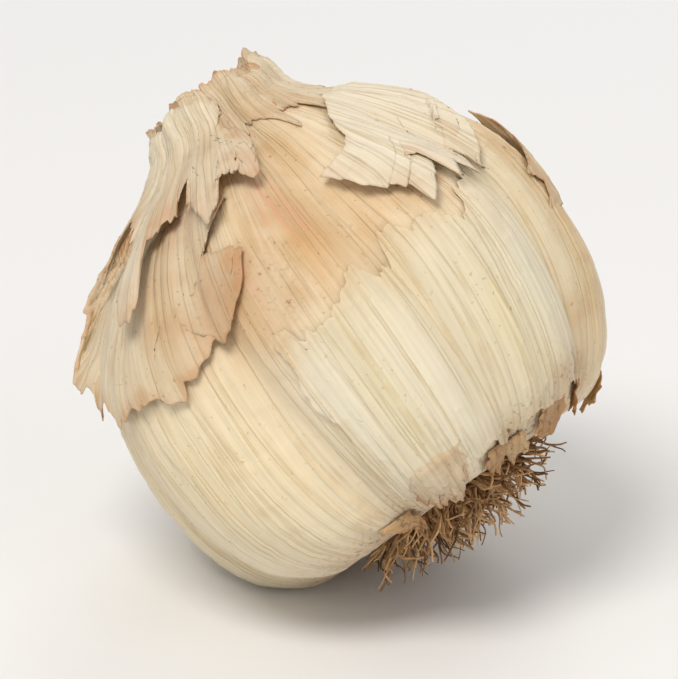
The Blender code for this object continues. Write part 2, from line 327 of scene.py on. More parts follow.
# Where the skins are stained, each as (azimuth in degrees, half width, height in mm, half height,
# strength): tan where the inner skin lies bare, straw on the fuller cloves, pale where the sun got
# to it, except at 258 degrees, where pale is painted light over the shade of a groove, blush where
# the purple stripes of the leaf ran out into the skin, soil mostly at the heel, and at 333 degrees,
# 3.8 mm up, a painted shadow line drawn as soil.
stains = {
    "tan": [
        (288, 20, 35, 8, 0.85), (262, 18, 31, 7, 0.60), (232, 26, 36, 6, 0.55), (312, 9, 33, 4, 0.60),
        (275, 60, 50, 7, 0.60), (150, 60, 49, 9, 0.60), (60, 80, 48, 9, 0.55), (205, 14, 27, 5, 0.35),
        (120, 16, 34, 9, 0.35), (30, 18, 36, 8, 0.35), (354, 13, 30, 14, 0.85),
        (347, 9, 8, 6, 0.85), (320, 14, 27, 5, 0.32), (279, 8, 42, 5, 0.15), (330, 10, 36, 6, 0.30),
        (6, 14, 22, 15, 0.35), (270, 8, 28, 5, 0.40), (299, 8, 45, 3, 0.40), (322, 9, 4, 5, 0.40),
    ],
    "straw": [
        (232, 27, 17, 12, 0.42), (277, 6, 14, 9, 0.45), (310, 7, 14, 8, 0.60), (296, 4, 22, 8, 0.35),
        (20, 26, 24, 14, 0.60), (120, 30, 20, 14, 0.70), (180, 20, 22, 12, 0.60), (75, 14, 18, 12, 0.40),
    ],
    "pale": [
        (268, 10, 16, 10, 0.65), (290, 12, 14, 12, 0.60), (326, 20, 20, 13, 0.45), (60, 30, 26, 18, 0.60),
        # the entry at 258 degrees is painted light, which lifts the shade of the groove there
        (95, 20, 24, 18, 0.50), (214, 14, 6, 6, 0.40), (258, 6, 17, 11, 0.80),
    ],
    "blush": [
        (278, 5, 41, 4, 0.95), (250, 8, 35, 3, 0.50), (284, 5, 37, 5, 0.60), (264, 6, 33, 4, 0.45),
        (244, 14, 46, 4, 0.40), (100, 26, 45, 5, 0.50), (20, 14, 44, 5, 0.50),
    ],
    "soilAndShade": [
        # the entry at 333 degrees, 3.8 mm up, is a painted shadow line
        (265, 70, -1.5, 2.8, 1.0), (90, 100, -1.5, 2.8, 0.9), (333, 12, 3.8, 2.0, 0.95),
        (259, 5, 2, 2, 0.3), (306, 7, 2.4, 1.6, 1.0), (160, 40, -1.5, 2.6, 0.8), (271, 8, 31, 6, 0.2),
    ],
}


def stainAt(kind, azimuth, height):
    angle, heightMm = math.degrees(azimuth), height / mm
    total = 0.0
    for middle, halfWidth, level, halfHeight, strength in stains[kind]:
        aside = ((angle - middle + 180) % 360 - 180) / halfWidth
        above = (heightMm - level) / halfHeight
        total += strength * math.exp(-aside * aside - above * above)
    return total


grooveShade = ((3.5, 5), (11, 14))  # where the painted shade in the grooves between the cloves fades in and out, in spans


def skinRow(azimuth, place, edge, tone=None):
    # what the skin's shader needs at one vertex; tone is what a piece has beyond the stains
    height = outlineAt(place)[1]
    # groove is the mask of the painted shade in the grooves between the cloves
    groove = (1 - cloveAt(azimuth, height)[0]) ** 2 * fadeInOut(place, grooveShade)
    share = {kind: stainAt(kind, azimuth, height) for kind in stains}
    for kind, more in (tone or {}).items():
        share[kind] = share.get(kind, 0.0) + more
    share = {kind: min(1.0, max(0.0, value)) for kind, value in share.items()}
    return {
        "skinWay": (math.cos(azimuth), math.sin(azimuth), place / 10),
        # skinZone holds the grooves' painted shade, the rusty edge, and painted shade for hollows
        "skinZone": (groove, edge, share.get("paintedShade", 0.0)),
        "skinTint": (share["tan"], share["straw"], share["blush"]),
        "skinMark": (share["soilAndShade"], share["pale"], 0.0),
    }


# The skins' colours and scales. Dry allium skin is a papery sheath of dead cells: matt to satin,
# ivory where it is fresh, straw to tan where it has dried longest, with fine veins along it.
skinLook = {
    "cream": "#E9DCC0",
    "ivory": "#F0E6CF",
    "straw": "#E2CE9C",
    "tan": "#CDA570",
    "blush": "#C98F78",
    "vein": "#C4A877",
    "edge": "#C79A66",
    "rust": "#CF9560",
    # the earth and soil browns also paint shade: in the neck's hollow, on the heel shreds, and a shadow
    # line low on the front
    "earthAndShadeBrown": "#9A6A39",
    "soilAndShade": "#5C4128",
    "patterns": {  # how many around the bulb, stretch along it, detail
        "veins": (veinForm["veins"][0], 1.6, 2.0),
        "fibres": (420, 5.0, 3.0),  # the fine grain between veins, 0.45 mm at the belly
        "streaks": (30, 1.2, 4.0),  # broad stripes, 6 mm apart at the belly
        "wrinkles": (44, 34.0, 3.0),  # short cross wrinkles, 4 mm wide, 3 mm apart and finer
    },
    "fleck": 240.0,  # per metre: mottling about 4 mm across
    "speck": 1500.0,  # per metre: specks of soil under a millimetre
    "grainShade": 0.86,  # how dark the grain's darkest lines are
    "roughness": 0.5,
    "roughnessChange": (-0.06, 0.12),  # in the grain's dark lines and in its light ones
    "ior": 1.45,
    "relief": 0.18 * mm,
    "reliefStrength": 0.55,
    "wrinkleShare": 1.6,  # height against that of a vein
    "fibreShare": 0.6,
    "sheen": 0.08,  # the down of dry fibres
    "sheenRoughness": 0.4,
}


def skinColour(tree, look):
    # base colour, roughness and relief of dry skin
    way = addNode(tree, "ShaderNodeAttribute", attribute_name="skinWay").outputs["Vector"]
    attributes = []
    for name in ("skinZone", "skinTint", "skinMark"):
        vector = addNode(tree, "ShaderNodeAttribute", attribute_name=name).outputs["Vector"]
        attributes += addNode(tree, "ShaderNodeSeparateXYZ", {0: vector}).outputs[:3]
    # the third value of skinZone is painted shade, for hollows and the heel shreds
    groove, edge, paintedShade, tan, straw, blush, soilAndShade, pale = attributes[:8]
    where = addNode(tree, "ShaderNodeTexCoord").outputs["Object"]

    along = {}
    for name, (around, stretch, detail) in look["patterns"].items():
        turn = around / (2 * math.pi)
        mapped = addNode(tree, "ShaderNodeMapping", {0: way, "Scale": (turn, turn, stretch)})
        along[name] = addNoise(tree, mapped.outputs[0], 1.0, detail)
    fleck = addNoise(tree, where, look["fleck"], 5.0)
    speck = addNoise(tree, where, look["speck"], 2.0)
    veinLine = addNode(
        tree, "ShaderNodeValToRGB", {0: along["veins"]}, stops=[(0.455, 0.0), (0.5, 1.0), (0.545, 0.0)]
    ).outputs[0]

    # each layer: what its share grows with, the pattern that breaks it up, the pattern's range
    # from and to, the share at that range's ends, and its colour
    layers = [
        (pale, along["streaks"], (0.30, 0.62), (0.35, 0.95), "ivory"),
        (straw, along["streaks"], (0.40, 0.66), (0.45, 1.00), "straw"),
        (tan, along["streaks"], (0.34, 0.64), (0.95, 0.30), "tan"),
        (tan, fleck, (0.44, 0.66), (0.00, 0.45), "edge"),
        # painted shade: the grooves between the cloves are tinted a darker tan
        (groove, along["fibres"], (0.35, 0.65), (0.04, 0.22), "tan"),
        (blush, along["fibres"], (0.40, 0.66), (0.05, 0.95), "blush"),
        (veinLine, fleck, (0.35, 0.65), (0.14, 0.52), "vein"),
        (edge, fleck, (0.38, 0.62), (0.25, 0.85), "rust"),
        # the soil mask also holds a painted shadow line, so these streaks and specks paint shade there too
        (soilAndShade, along["streaks"], (0.36, 0.60), (0.15, 0.85), "earthAndShadeBrown"),
        (soilAndShade, speck, (0.56, 0.66), (0.00, 0.80), "soilAndShade"),
        (straw, speck, (0.67, 0.72), (0.00, 0.90), "earthAndShadeBrown"),
        (tan, speck, (0.68, 0.73), (0.00, 0.70), "earthAndShadeBrown"),
        # painted shade: earth brown darkens the hollow inside the neck and the heel shreds
        (paintedShade, fleck, (0.30, 0.60), (0.55, 0.95), "earthAndShadeBrown"),
    ]
    colour = linearColour(look["cream"])
    for zone, pattern, (low, high), (first, last), name in layers:
        broken = addNode(
            tree, "ShaderNodeMapRange",
            {0: pattern, "From Min": low, "From Max": high, "To Min": first, "To Max": last},
        )
        share = addNode(
            tree, "ShaderNodeMath", {0: zone, 1: broken.outputs[0]}, operation="MULTIPLY", use_clamp=True
        )
        colour = addNode(
            tree, "ShaderNodeMix", {0: share.outputs[0], 6: colour, 7: linearColour(look[name])},
            data_type="RGBA",
        ).outputs[2]
    # the grain's own light and dark
    grain = addNode(
        tree, "ShaderNodeValToRGB", {0: along["fibres"]}, stops=[(0.30, look["grainShade"]), (0.62, 1.0)]
    ).outputs[0]
    colour = addNode(
        tree, "ShaderNodeMix", {0: 1.0, 6: colour, 7: grain}, data_type="RGBA", blend_type="MULTIPLY"
    ).outputs[2]
    smoother, rougher = look["roughnessChange"]
    roughness = addNode(
        tree, "ShaderNodeMapRange",
        {0: along["fibres"], "From Min": 0.3, "From Max": 0.7,
         "To Min": look["roughness"] + smoother, "To Max": look["roughness"] + rougher},
    ).outputs[0]
    lines = addNode(
        tree, "ShaderNodeMath", {0: along["fibres"], 1: look["fibreShare"], 2: veinLine},
        operation="MULTIPLY_ADD",
    )
    ridges = addNode(
        tree, "ShaderNodeMath", {0: along["wrinkles"], 1: look["wrinkleShare"], 2: lines.outputs[0]},
        operation="MULTIPLY_ADD",
    )
    return colour, roughness, addRelief(tree, look, ridges.outputs[0])


def dryWrapperSkin():
    # several layers of dry skin drawn tight over the cloves: satin, and a little light gets in
    look = dict(skinLook, light=0.15, lightReach=(1.0, 0.62, 0.34), lightDepth=1.4 * mm, gloss=0.40)
    material, tree = newMaterial("tight dry wrapper skin")
    colour, roughness, relief = skinColour(tree, look)
    shader = addSurface(
        tree, look, colour, roughness, relief,
        {"Subsurface Weight": look["light"], "Subsurface Radius": look["lightReach"],
         "Subsurface Scale": look["lightDepth"], "Sheen Weight": look["sheen"],
         "Sheen Roughness": look["sheenRoughness"]},
    )
    addNode(tree, "ShaderNodeOutputMaterial", {"Surface": shader})
    return material


def looseFlakeSkin():
    # a single dead layer, thin as tissue: light shows through it, so its edges glow
    look = dict(skinLook, cream="#F0E6CE", roughness=0.54, gloss=0.38, glow=0.16)
    material, tree = newMaterial("loose flake of outer skin")
    colour, roughness, relief = skinColour(tree, look)
    shader = addSurface(
        tree, look, colour, roughness, relief,
        {"Sheen Weight": look["sheen"], "Sheen Roughness": look["sheenRoughness"]},
    )
    glow = addNode(tree, "ShaderNodeBsdfTranslucent", {"Color": colour, "Normal": relief})
    both = addNode(tree, "ShaderNodeMixShader", {0: look["glow"], 1: shader, 2: glow.outputs[0]})
    addNode(tree, "ShaderNodeOutputMaterial", {"Surface": both.outputs[0]})
    return material


def dryRootFibre():
    # dry root: a wiry strand with a cracked, earthy rind, pale where the rind has rubbed off
    look = {
        "pale": "#D3AD7F", "middle": "#97704A", "dark": "#42301F", "grain": 1400.0, "roughness": 0.82,
        "relief": 0.15 * mm, "reliefStrength": 0.6, "ior": 1.45, "gloss": 0.25,
    }
    material, tree = newMaterial("dry root fibre")
    tone = addNode(tree, "ShaderNodeAttribute", attribute_name="rootTone").outputs["Vector"]
    tones = addNode(tree, "ShaderNodeSeparateXYZ", {0: tone})
    where = addNode(tree, "ShaderNodeTexCoord").outputs["Object"]
    grain = addNoise(tree, where, look["grain"], 3.0)
    shade = addNode(
        tree, "ShaderNodeMath", {0: grain, 1: 0.5, 2: tones.outputs[0]}, operation="MULTIPLY_ADD"
    )
    colour = addNode(
        tree, "ShaderNodeValToRGB", {0: shade.outputs[0]},
        stops=[
            (0.20, linearColour(look["dark"])),
            (0.60, linearColour(look["middle"])),
            (1.00, linearColour(look["pale"])),
        ],
    )
    relief = addRelief(tree, look, grain)
    shader = addSurface(tree, look, colour.outputs[0], look["roughness"], relief)
    addNode(tree, "ShaderNodeOutputMaterial", {"Surface": shader})
    return material


def corkyRind():
    # the root plate: a corky scab with old soil in its cracks
    look = {
        "pale": "#A07A48", "dark": "#3F2A17", "scab": 420.0, "roughness": 0.9, "relief": 0.4 * mm,
        "reliefStrength": 0.9, "ior": 1.45, "gloss": 0.2,
    }
    material, tree = newMaterial("corky root plate")
    where = addNode(tree, "ShaderNodeTexCoord").outputs["Object"]
    scab = addNoise(tree, where, look["scab"], 5.0)
    colour = addNode(
        tree, "ShaderNodeValToRGB", {0: scab},
        stops=[(0.35, linearColour(look["dark"])), (0.65, linearColour(look["pale"]))],
    )
    relief = addRelief(tree, look, scab)
    shader = addSurface(tree, look, colour.outputs[0], look["roughness"], relief)
    addNode(tree, "ShaderNodeOutputMaterial", {"Surface": shader})
    return material


wrapperMaterial = dryWrapperSkin()
flakeMaterial = looseFlakeSkin()
rootMaterial = dryRootFibre()
corkMaterial = corkyRind()
print("materials made")

# The wrapped body
wrapper = {
    "segments": 400,
    "rows": 232,
    "relief": ((3.2, 5), (16.5, 18)),  # where it fades in and out
    "veinHeight": 0.08 * mm,
    "pleats": (34, 0.30),
    "pleatDepth": 0.75 * mm,
    "pleatsIn": (9.5, 14),
    "heelPleatsOut": (3.5, 6.5),
    "heelPleats": 0.30,  # depth against that of the neck's pleats
    "creases": (16, 0.9),
    "creaseShape": (5, 3),
    "creaseLean": 0.04,
    "creaseDepth": 0.14 * mm,
    "crossFolds": (26, 1.9),  # small folds that run around the bulb, across the veins
    "crossFoldShape": (4, 2),
    "crossFold": 0.09 * mm,
    "grooves": ((4, 6), (11, 13.5)),
    "grooveDepth": 0.55 * mm,  # how much tighter than the solid the skin is drawn into a groove
    "rimRust": 0.6,
    "rimRustIn": (14.6, 16),
    "paintedShade": ((18.5, 21), (23, 24.5)),  # painted shade darkens the hollow inside the neck
}


def placesAlongOutline(rows):
    # places that are evenly spaced along the outline's length
    fine = 40 * outlineSpans
    points = [outlineAt(step * outlineSpans / fine) for step in range(fine + 1)]
    lengths = [0.0]
    for a, b in zip(points, points[1:]):
        lengths.append(lengths[-1] + math.hypot(b[0] - a[0], b[1] - a[1]))
    places = []
    step = 0
    for row in range(rows + 1):
        wanted = lengths[-1] * row / rows
        while step < fine - 1 and lengths[step + 1] < wanted:
            step += 1
        share = (wanted - lengths[step]) / max(1e-9, lengths[step + 1] - lengths[step])
        places.append((step + share) * outlineSpans / fine)
    return places


def wrapperRelief(azimuth, place):
    # veins and creases of the tight skin, and its pleats where it is gathered at neck and heel
    relief = wrapper["veinHeight"] * veinRelief(azimuth, place)
    slack = ringNoise(azimuth, place, wrapper["crossFolds"], x=5.0, y=2.0)
    relief += wrapper["crossFold"] * ridge(slack, *wrapper["crossFoldShape"])
    gathered = smoothStep(*wrapper["pleatsIn"], place)
    gathered += wrapper["heelPleats"] * (1 - smoothStep(*wrapper["heelPleatsOut"], place))
    relief += wrapper["pleatDepth"] * ringNoise(azimuth, place, wrapper["pleats"], x=3.0) * gathered
    crease = ringNoise(azimuth + wrapper["creaseLean"] * place, place, wrapper["creases"], y=9.0)
    relief -= wrapper["creaseDepth"] * ridge(crease, *wrapper["creaseShape"])
    full = cloveAt(azimuth, outlineAt(place)[1])[0]
    drawnIn = (1 - full) ** 3 * fadeInOut(place, wrapper["grooves"])
    return fadeInOut(place, wrapper["relief"]) * (relief - wrapper["grooveDepth"] * drawnIn)


def makeWrappedBody():
    places = placesAlongOutline(wrapper["rows"])
    shape = bmesh.new()
    bmesh.ops.create_uvsphere(
        shape, u_segments=wrapper["segments"], v_segments=wrapper["rows"], radius=1.0
    )
    where = []
    for vertex in shape.verts:
        fromPole = math.acos(max(-1.0, min(1.0, -vertex.co.z))) / math.pi
        azimuth = math.atan2(vertex.co.y, vertex.co.x)
        place = places[round(fromPole * wrapper["rows"])]
        where.append((azimuth, place))
        vertex.co = bodyPoint(azimuth, place)
    bmesh.ops.recalc_face_normals(shape, faces=shape.faces)
    shape.normal_update()
    rows = []
    for vertex, (azimuth, place) in zip(shape.verts, where):
        vertex.co = lean @ (vertex.co + vertex.normal * wrapperRelief(azimuth, place))
        vertex.co.z = max(0.0, vertex.co.z)
        rust = wrapper["rimRust"] * smoothStep(*wrapper["rimRustIn"], place)
        # painted shade comes in as a tone inside the neck's hollow
        rows.append(skinRow(azimuth, place, rust, {"paintedShade": fadeInOut(place, wrapper["paintedShade"])}))
    mesh = bpy.data.meshes.new("wrappedBulb")
    shape.to_mesh(mesh)
    shape.free()
    setAttributes(mesh, rows)
    piece = addPiece("wrappedBulb", mesh, wrapperMaterial)
    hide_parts("wrapped_bulb")


makeWrappedBody()
print("wrapped body made")

# Loose pieces of the outermost skin, each over the frame's piece of the same form. Azimuths are in
# degrees; foot and tips are places along the outline, in spans. Tips and standOff are given at one
# side, in the middle and at the other side.
looseSkins = {
    "loose_skin_left": {
        "grid": (200, 64),
        "azimuth": 206, "halfWidth": 56, "askew": 0, "foot": 11.9, "tips": (12.4, 8.3, 9.2),
        "standOff": (9.4 * mm, 2.2 * mm, 0.3 * mm), "tears": 3.1, "phase": 0.6, "strips": 18,
        "tone": {"tan": 0.10, "straw": 0.15}, "rust": 0.6, "bay": (-0.05, 0.22, 0.27), "fray": 0.085,
    },
    "loose_skin_collar": {
        "grid": (200, 64),
        "azimuth": 220, "halfWidth": 60, "askew": 0, "foot": 15.7, "tips": (10.9, 10.5, 9.4),
        "standOff": (2.6 * mm, 2.6 * mm, 2.4 * mm), "tears": 4.3, "phase": 2.2, "strips": 19,
        # its paler tone is partly painted light, which offsets the shade in the slits around the collar
        "tone": {"tan": -0.15, "pale": 0.35}, "rust": 0.5,
    },
    "loose_skin_front": {
        "grid": (150, 60),
        "azimuth": 324, "halfWidth": 25, "askew": 38, "foot": 12.4, "tips": (9.4, 8.8, 8.8),
        "standOff": (1.4 * mm, 1.2 * mm, 1.6 * mm), "tears": 3.4, "phase": 5.0, "strips": 11,
        "tone": {"tan": -0.6, "pale": 0.9, "blush": -0.3}, "rust": 0.3,
    },
    "loose_skin_crown": {
        "grid": (110, 52),
        "azimuth": 10, "halfWidth": 17, "askew": 0, "foot": 8.0, "tips": (9.6, 10.1, 9.4),
        "standOff": (0.7 * mm, 0.9 * mm, 0.8 * mm), "tears": 2.2, "phase": 3.1, "strips": 8,
        # its pale tone is partly painted light, which lifts the shade on its inside face
        "tone": {"pale": 0.4}, "rust": 0.5,
    },
    "loose_skin_heel": {
        "grid": (60, 36),
        "azimuth": 275, "halfWidth": 8, "askew": 2, "foot": 6.0, "tips": (5.0, 4.3, 4.9),
        "standOff": (0.6 * mm, 1.6 * mm, 1.0 * mm), "tears": 4.4, "phase": 1.2, "strips": 9,
        # its tone holds a little painted shade besides tan and soil
        "tone": {"tan": 0.5, "soilAndShade": 0.06, "paintedShade": 0.03}, "rust": 1.0,
    },
    "loose_skin_back": {
        "grid": (180, 60),
        "azimuth": 88, "halfWidth": 43, "askew": 0, "foot": 7.6, "tips": (10.2, 10.8, 9.7),
        "standOff": (1.6 * mm, 3.0 * mm, 2.0 * mm), "tears": 3.6, "phase": 4.2, "strips": 15,
        "tone": {"pale": 0.2}, "rust": 0.6,
    },
}
looseSkinMake = {
    "thickness": 0.14 * mm,
    "startLift": 0.12 * mm,
    "clearBy": 0.12,  # share of its length over which it comes clear of the body
    "loosenedBy": 0.5,  # and over which its wrinkles grow to their full height
    "liftPower": 1.7,
    "veinHeight": 0.07 * mm,
    "wrinkle": 0.50 * mm,
    "wrinkles": (44, 1.4),  # these change by so much from foot to tip
    "crinkle": 0.16 * mm,
    "crinkles": (100, 1.6),
    "curl": 1.1 * mm,
    "curlFrom": 0.7,
    "shredLength": 0.28,  # share of its length that the widest tears take
    "shreds": ((0.65, 1.0, 1.0), (0.35, 2.7, 2.1)),  # size, how many, share of the phase
    "cornerCut": 0.25,
    "fray": 0.13,  # share of its length that the finest tears take
    "frayFrom": 0.2,
    "frayBack": 0.04,
    "sideWave": 0.10,
    "sideTears": ((0.05, 7, 0.0), (0.04, 23, 4.0)),  # size, how many, seed
    "floorGap": 0.25 * mm,
    "endRust": 0.82,  # shares of the sheet from which its edges turn rusty
    "sideRust": 0.92,
}
# How the ends of torn strips vary
strip = {"wander": 0.5, "slant": 0.5, "ragged": 0.25, "raggedEnds": 2.3, "stepFrom": 0.74}


def between(three, across):
    # a value that is given at -1, 0 and +1
    first, middle, last = three
    return middle + across * (last - first) / 2 + across**2 * (first + last - 2 * middle) / 2


def shreds(across, skin):
    # a torn edge: 1 at the tips of its pointed shreds, 0 in the bays between them
    return sum(
        size * (1 - abs(math.sin(many * skin["tears"] * across + part * skin["phase"])))
        for size, many, part in looseSkinMake["shreds"]
    )


def stripEnd(across, strips, seed, stepFrom=strip["stepFrom"]):
    # skin tears along its veins, so each strip ends at its own length, from about -1 to 1
    place = (across + 1) * strips / 2 + strip["wander"] * noise.noise(Vector((across * 4, seed, 1.0)))
    index = math.floor(place)
    inside = place - index
    here = noise.cell(Vector((index + 0.5, seed, 0.5)))
    after = noise.cell(Vector((index + 1.5, seed, 0.5)))
    slant = strip["slant"] * noise.cell(Vector((index + 0.5, seed, 3.5)))
    step = smoothStep(stepFrom, 1.0, inside)
    ragged = strip["ragged"] * noise.noise(Vector((across * strips * strip["raggedEnds"], seed, 6.0)))
    return here + (after - here) * step + slant * (inside - 0.5) * (1 - step) + ragged


def looseSkinPoint(skin, across, along):
    make = looseSkinMake
    seed = 11.0 * skin["phase"]
    wave = make["sideWave"] * math.sin(9 * along + 5 * skin["phase"] + 2 * across)
    side = sum(size * noise.noise(Vector((seed, along * many, z))) for size, many, z in make["sideTears"])
    aside = (across * (1 + wave) + across**3 * side) * skin["halfWidth"] + skin["askew"] * (1 - along)
    azimuth = math.radians(skin["azimuth"] + aside)
    length = 1 - make["shredLength"] * (1 - shreds(across, skin))
    length *= 1 - make["cornerCut"] * across**4
    bayAt, bayWidth, bayShare = skin.get("bay", (0.0, 1.0, 0.0))
    length *= 1 - bayShare * math.exp(-((across - bayAt) / bayWidth) ** 2)
    fray = skin.get("fray", make["fray"]) * stripEnd(across, skin["strips"], seed) - make["frayBack"]
    length *= 1 + fray * smoothStep(make["frayFrom"], 1.0, along)
    place = skin["foot"] + (between(skin["tips"], across) - skin["foot"]) * along * length
    wrinkle = make["wrinkle"] * abs(ringNoise(azimuth, along, make["wrinkles"], y=seed))
    wrinkle += make["crinkle"] * ringNoise(azimuth, place, make["crinkles"], x=seed)
    curl = make["curl"] * noise.noise(Vector((across * 3.1, seed, 9.0)))
    lift = make["startLift"] + bulb["clear"] * smoothStep(0.0, make["clearBy"], along)
    lift += between(skin["standOff"], across) * (along * length) ** make["liftPower"]
    lift += wrinkle * smoothStep(0.0, make["loosenedBy"], along)
    lift += max(0.0, curl) * smoothStep(make["curlFrom"], 1.0, along)
    lift += make["veinHeight"] * veinRelief(azimuth, place) + max(0.0, wrapperRelief(azimuth, place))
    return azimuth, place, liftedPoint(azimuth, place, lift)


def makeSheet(name, columns, rows, pointAt, thickness, flipped, material, slot, tone=None, rust=0.5):
    # a thin sheet from a function that gives azimuth, place and point at each step over it
    shape = bmesh.new()
    bmesh.ops.create_grid(shape, x_segments=columns, y_segments=rows, size=1.0)
    attributes = []
    for vertex in shape.verts:
        across, along = vertex.co.x, (vertex.co.y + 1) / 2
        azimuth, place, point = pointAt(across, along)
        edge = smoothStep(looseSkinMake["endRust"], 1.0, along)
        edge = max(edge, smoothStep(looseSkinMake["sideRust"], 1.0, abs(across)))
        attributes.append(skinRow(azimuth, place, edge * rust, tone))
        vertex.co = lean @ point
        vertex.co.z = max(looseSkinMake["floorGap"], vertex.co.z)
    if flipped:
        bmesh.ops.reverse_faces(shape, faces=shape.faces)
    mesh = bpy.data.meshes.new(name)
    shape.to_mesh(mesh)
    shape.free()
    setAttributes(mesh, attributes)
    piece = addPiece(name, mesh, material)
    thicken(piece, thickness)
    return piece


for name, skin in looseSkins.items():
    piece = makeSheet(
        name.replace("loose_skin_", "tornSkin_"), *skin["grid"],
        lambda across, along: looseSkinPoint(skin, across, along),
        looseSkinMake["thickness"], skin["tips"][1] < skin["foot"], flakeMaterial, "loose_skin",
        skin["tone"], skin["rust"],
    )
    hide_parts(name)
print("loose skins made")

# Brown shreds where the skin has torn and dirtied around the root plate, darkened further with painted
# shade
heelShreds = [
    # azimuth, half width and askew in degrees, foot and tips in spans, how far the tip stands off,
    # how dark it is, from soil and painted shade
    (257, 6, -3, 5.0, (4.4, 3.9, 4.3), 0.5 * mm, 0.35),
    (294, 5, 3, 5.1, (4.5, 4.0, 4.4), 0.4 * mm, 0.55),
    (306, 4, -2, 5.0, (4.4, 4.0, 4.2), 0.6 * mm, 0.20),
    (317, 5, 2, 5.3, (4.6, 4.1, 4.4), 0.5 * mm, 0.42),
    (338, 6, 3, 5.5, (4.7, 4.4, 4.5), 0.5 * mm, 0.60),
    (15, 5, 2, 5.2, (4.5, 4.0, 4.4), 0.5 * mm, 0.30),
    (62, 6, -3, 5.3, (4.5, 4.1, 4.5), 0.6 * mm, 0.50),
]
heelShredMake = {"grid": (40, 28), "tears": 2.8, "phaseStep": 1.7, "strips": 7, "rust": 0.9}


def makeHeelShreds():
    for index, (azimuth, halfWidth, askew, foot, tips, standOff, dark) in enumerate(heelShreds):
        shred = {
            "azimuth": azimuth, "halfWidth": halfWidth, "askew": askew, "foot": foot, "tips": tips,
            "standOff": (0.5 * standOff, standOff, 0.7 * standOff), "tears": heelShredMake["tears"],
            "phase": heelShredMake["phaseStep"] * index, "strips": heelShredMake["strips"],
        }
        # dark adds soil and painted shade, in earth brown
        tone = {"tan": 0.55 + 0.7 * dark, "soilAndShade": 0.9 * dark, "pale": -1.0, "paintedShade": dark}
        makeSheet(
            f"heelShred{index + 1}", *heelShredMake["grid"],
            lambda across, along: looseSkinPoint(shred, across, along), looseSkinMake["thickness"], True,
            wrapperMaterial, "loose_skin", tone, heelShredMake["rust"],
        )


makeHeelShreds()
print("heel shreds made")

# Two more outer skins that still lie flat, over the right and the back of the bulb, with ridges
flatSkins = {
    "rightOuterSkin": {
        "from": 263, "to": 356, "top": (8.5, 9.1, 10.2), "foot": 5.2, "strips": 13, "topTear": 0.42,
        "footTear": 0.30, "seed": 4.0,
    },
    "backOuterSkin": {
        "from": 52, "to": 146, "top": (11.6, 11.9, 11.0), "foot": 5.3, "strips": 15, "topTear": 0.5,
        "footTear": 0.4, "seed": 9.0,
    },
}
flatSkinMake = {
    "grid": (220, 146),
    "thickness": 0.13 * mm,
    "lift": 0.16 * mm,
    "ridges": (56, 0.12),
    "ridgeHeight": 0.30 * mm,
    "rust": 0.25,
    "sideTears": (1.6, 0.8),  # degrees, the wide and the narrow ones
    "stepFrom": 0.35,
    "fineTear": 0.10,
    "ridgeGain": 2.2,
    "ridgesFrom": 0.25,
    "edgeLift": 0.12 * mm,
    "edge": 0.06,  # share of its length
    "sideEdge": 0.07,  # share of its half width
}


def flatSkinPoint(skin, across, along):
    make, seed = flatSkinMake, skin["seed"]
    wide, narrow = make["sideTears"]
    ragged = wide * noise.noise(Vector((along * 5, seed, across)))
    ragged += narrow * noise.noise(Vector((along * 19, seed, 3.0)))
    middle, halfWidth = (skin["from"] + skin["to"]) / 2, (skin["to"] - skin["from"]) / 2
    azimuth = math.radians(middle + across * halfWidth + ragged * abs(across) ** 6)
    top = between(skin["top"], across)
    top += skin["topTear"] * stripEnd(across, skin["strips"], seed, make["stepFrom"])
    top += make["fineTear"] * stripEnd(across, 4 * skin["strips"], seed + 2)
    foot = skin["foot"] + skin["footTear"] * stripEnd(across, skin["strips"], seed + 5)
    place = top + (foot - top) * along
    ridges = min(1.0, make["ridgeGain"] * abs(ringNoise(azimuth, place, make["ridges"], x=seed)))
    edge = max(
        smoothStep(1 - make["edge"], 1.0, along), smoothStep(make["edge"], 0.0, along),
        smoothStep(1 - make["sideEdge"], 1.0, abs(across)),
    )
    lift = make["lift"] + make["ridgeHeight"] * ridges * smoothStep(0.0, make["ridgesFrom"], along)
    lift += looseSkinMake["veinHeight"] * veinRelief(azimuth, place) + make["edgeLift"] * edge
    lift += max(0.0, wrapperRelief(azimuth, place))
    return azimuth, place, liftedPoint(azimuth, place, lift)


for name, skin in flatSkins.items():
    makeSheet(
        name, *flatSkinMake["grid"], lambda across, along: flatSkinPoint(skin, across, along),
        flatSkinMake["thickness"], True, wrapperMaterial, "wrapper_skin", rust=flatSkinMake["rust"],
    )
print("flat skins made")

# Torn sheaths around the neck
neckSheaths = [
    # the first three lie outside the neck, from a place along the outline; the others stand inside
    # it at a share of its radius, crushed out of round; reach is the height above the rim
    {"azimuth": 140, "halfWidth": 70, "from": 13.2, "reach": 1.5 * mm, "seed": 2.0},
    {"azimuth": 300, "halfWidth": 44, "from": 13.2, "reach": 1.6 * mm, "seed": 6.0},
    {"azimuth": 22, "halfWidth": 66, "from": 13.3, "reach": 1.5 * mm, "seed": 12.0},
    {"azimuth": 200, "halfWidth": 95, "share": 0.74, "crush": 0.08, "reach": 1.7 * mm, "seed": 15.0},
    {"azimuth": 40, "halfWidth": 85, "share": 0.72, "crush": 0.08, "reach": 1.6 * mm, "seed": 18.0},
    {"azimuth": 290, "halfWidth": 110, "share": 0.47, "crush": 0.20, "reach": 2.0 * mm, "seed": 21.0},
    {"azimuth": 110, "halfWidth": 100, "share": 0.42, "crush": 0.24, "reach": 1.6 * mm, "seed": 25.0},
    {"azimuth": 250, "halfWidth": 125, "share": 0.27, "crush": 0.34, "reach": 1.1 * mm, "seed": 28.0},
    {"azimuth": 70, "halfWidth": 150, "share": 0.16, "crush": 0.40, "reach": 0.7 * mm, "seed": 31.0},
]
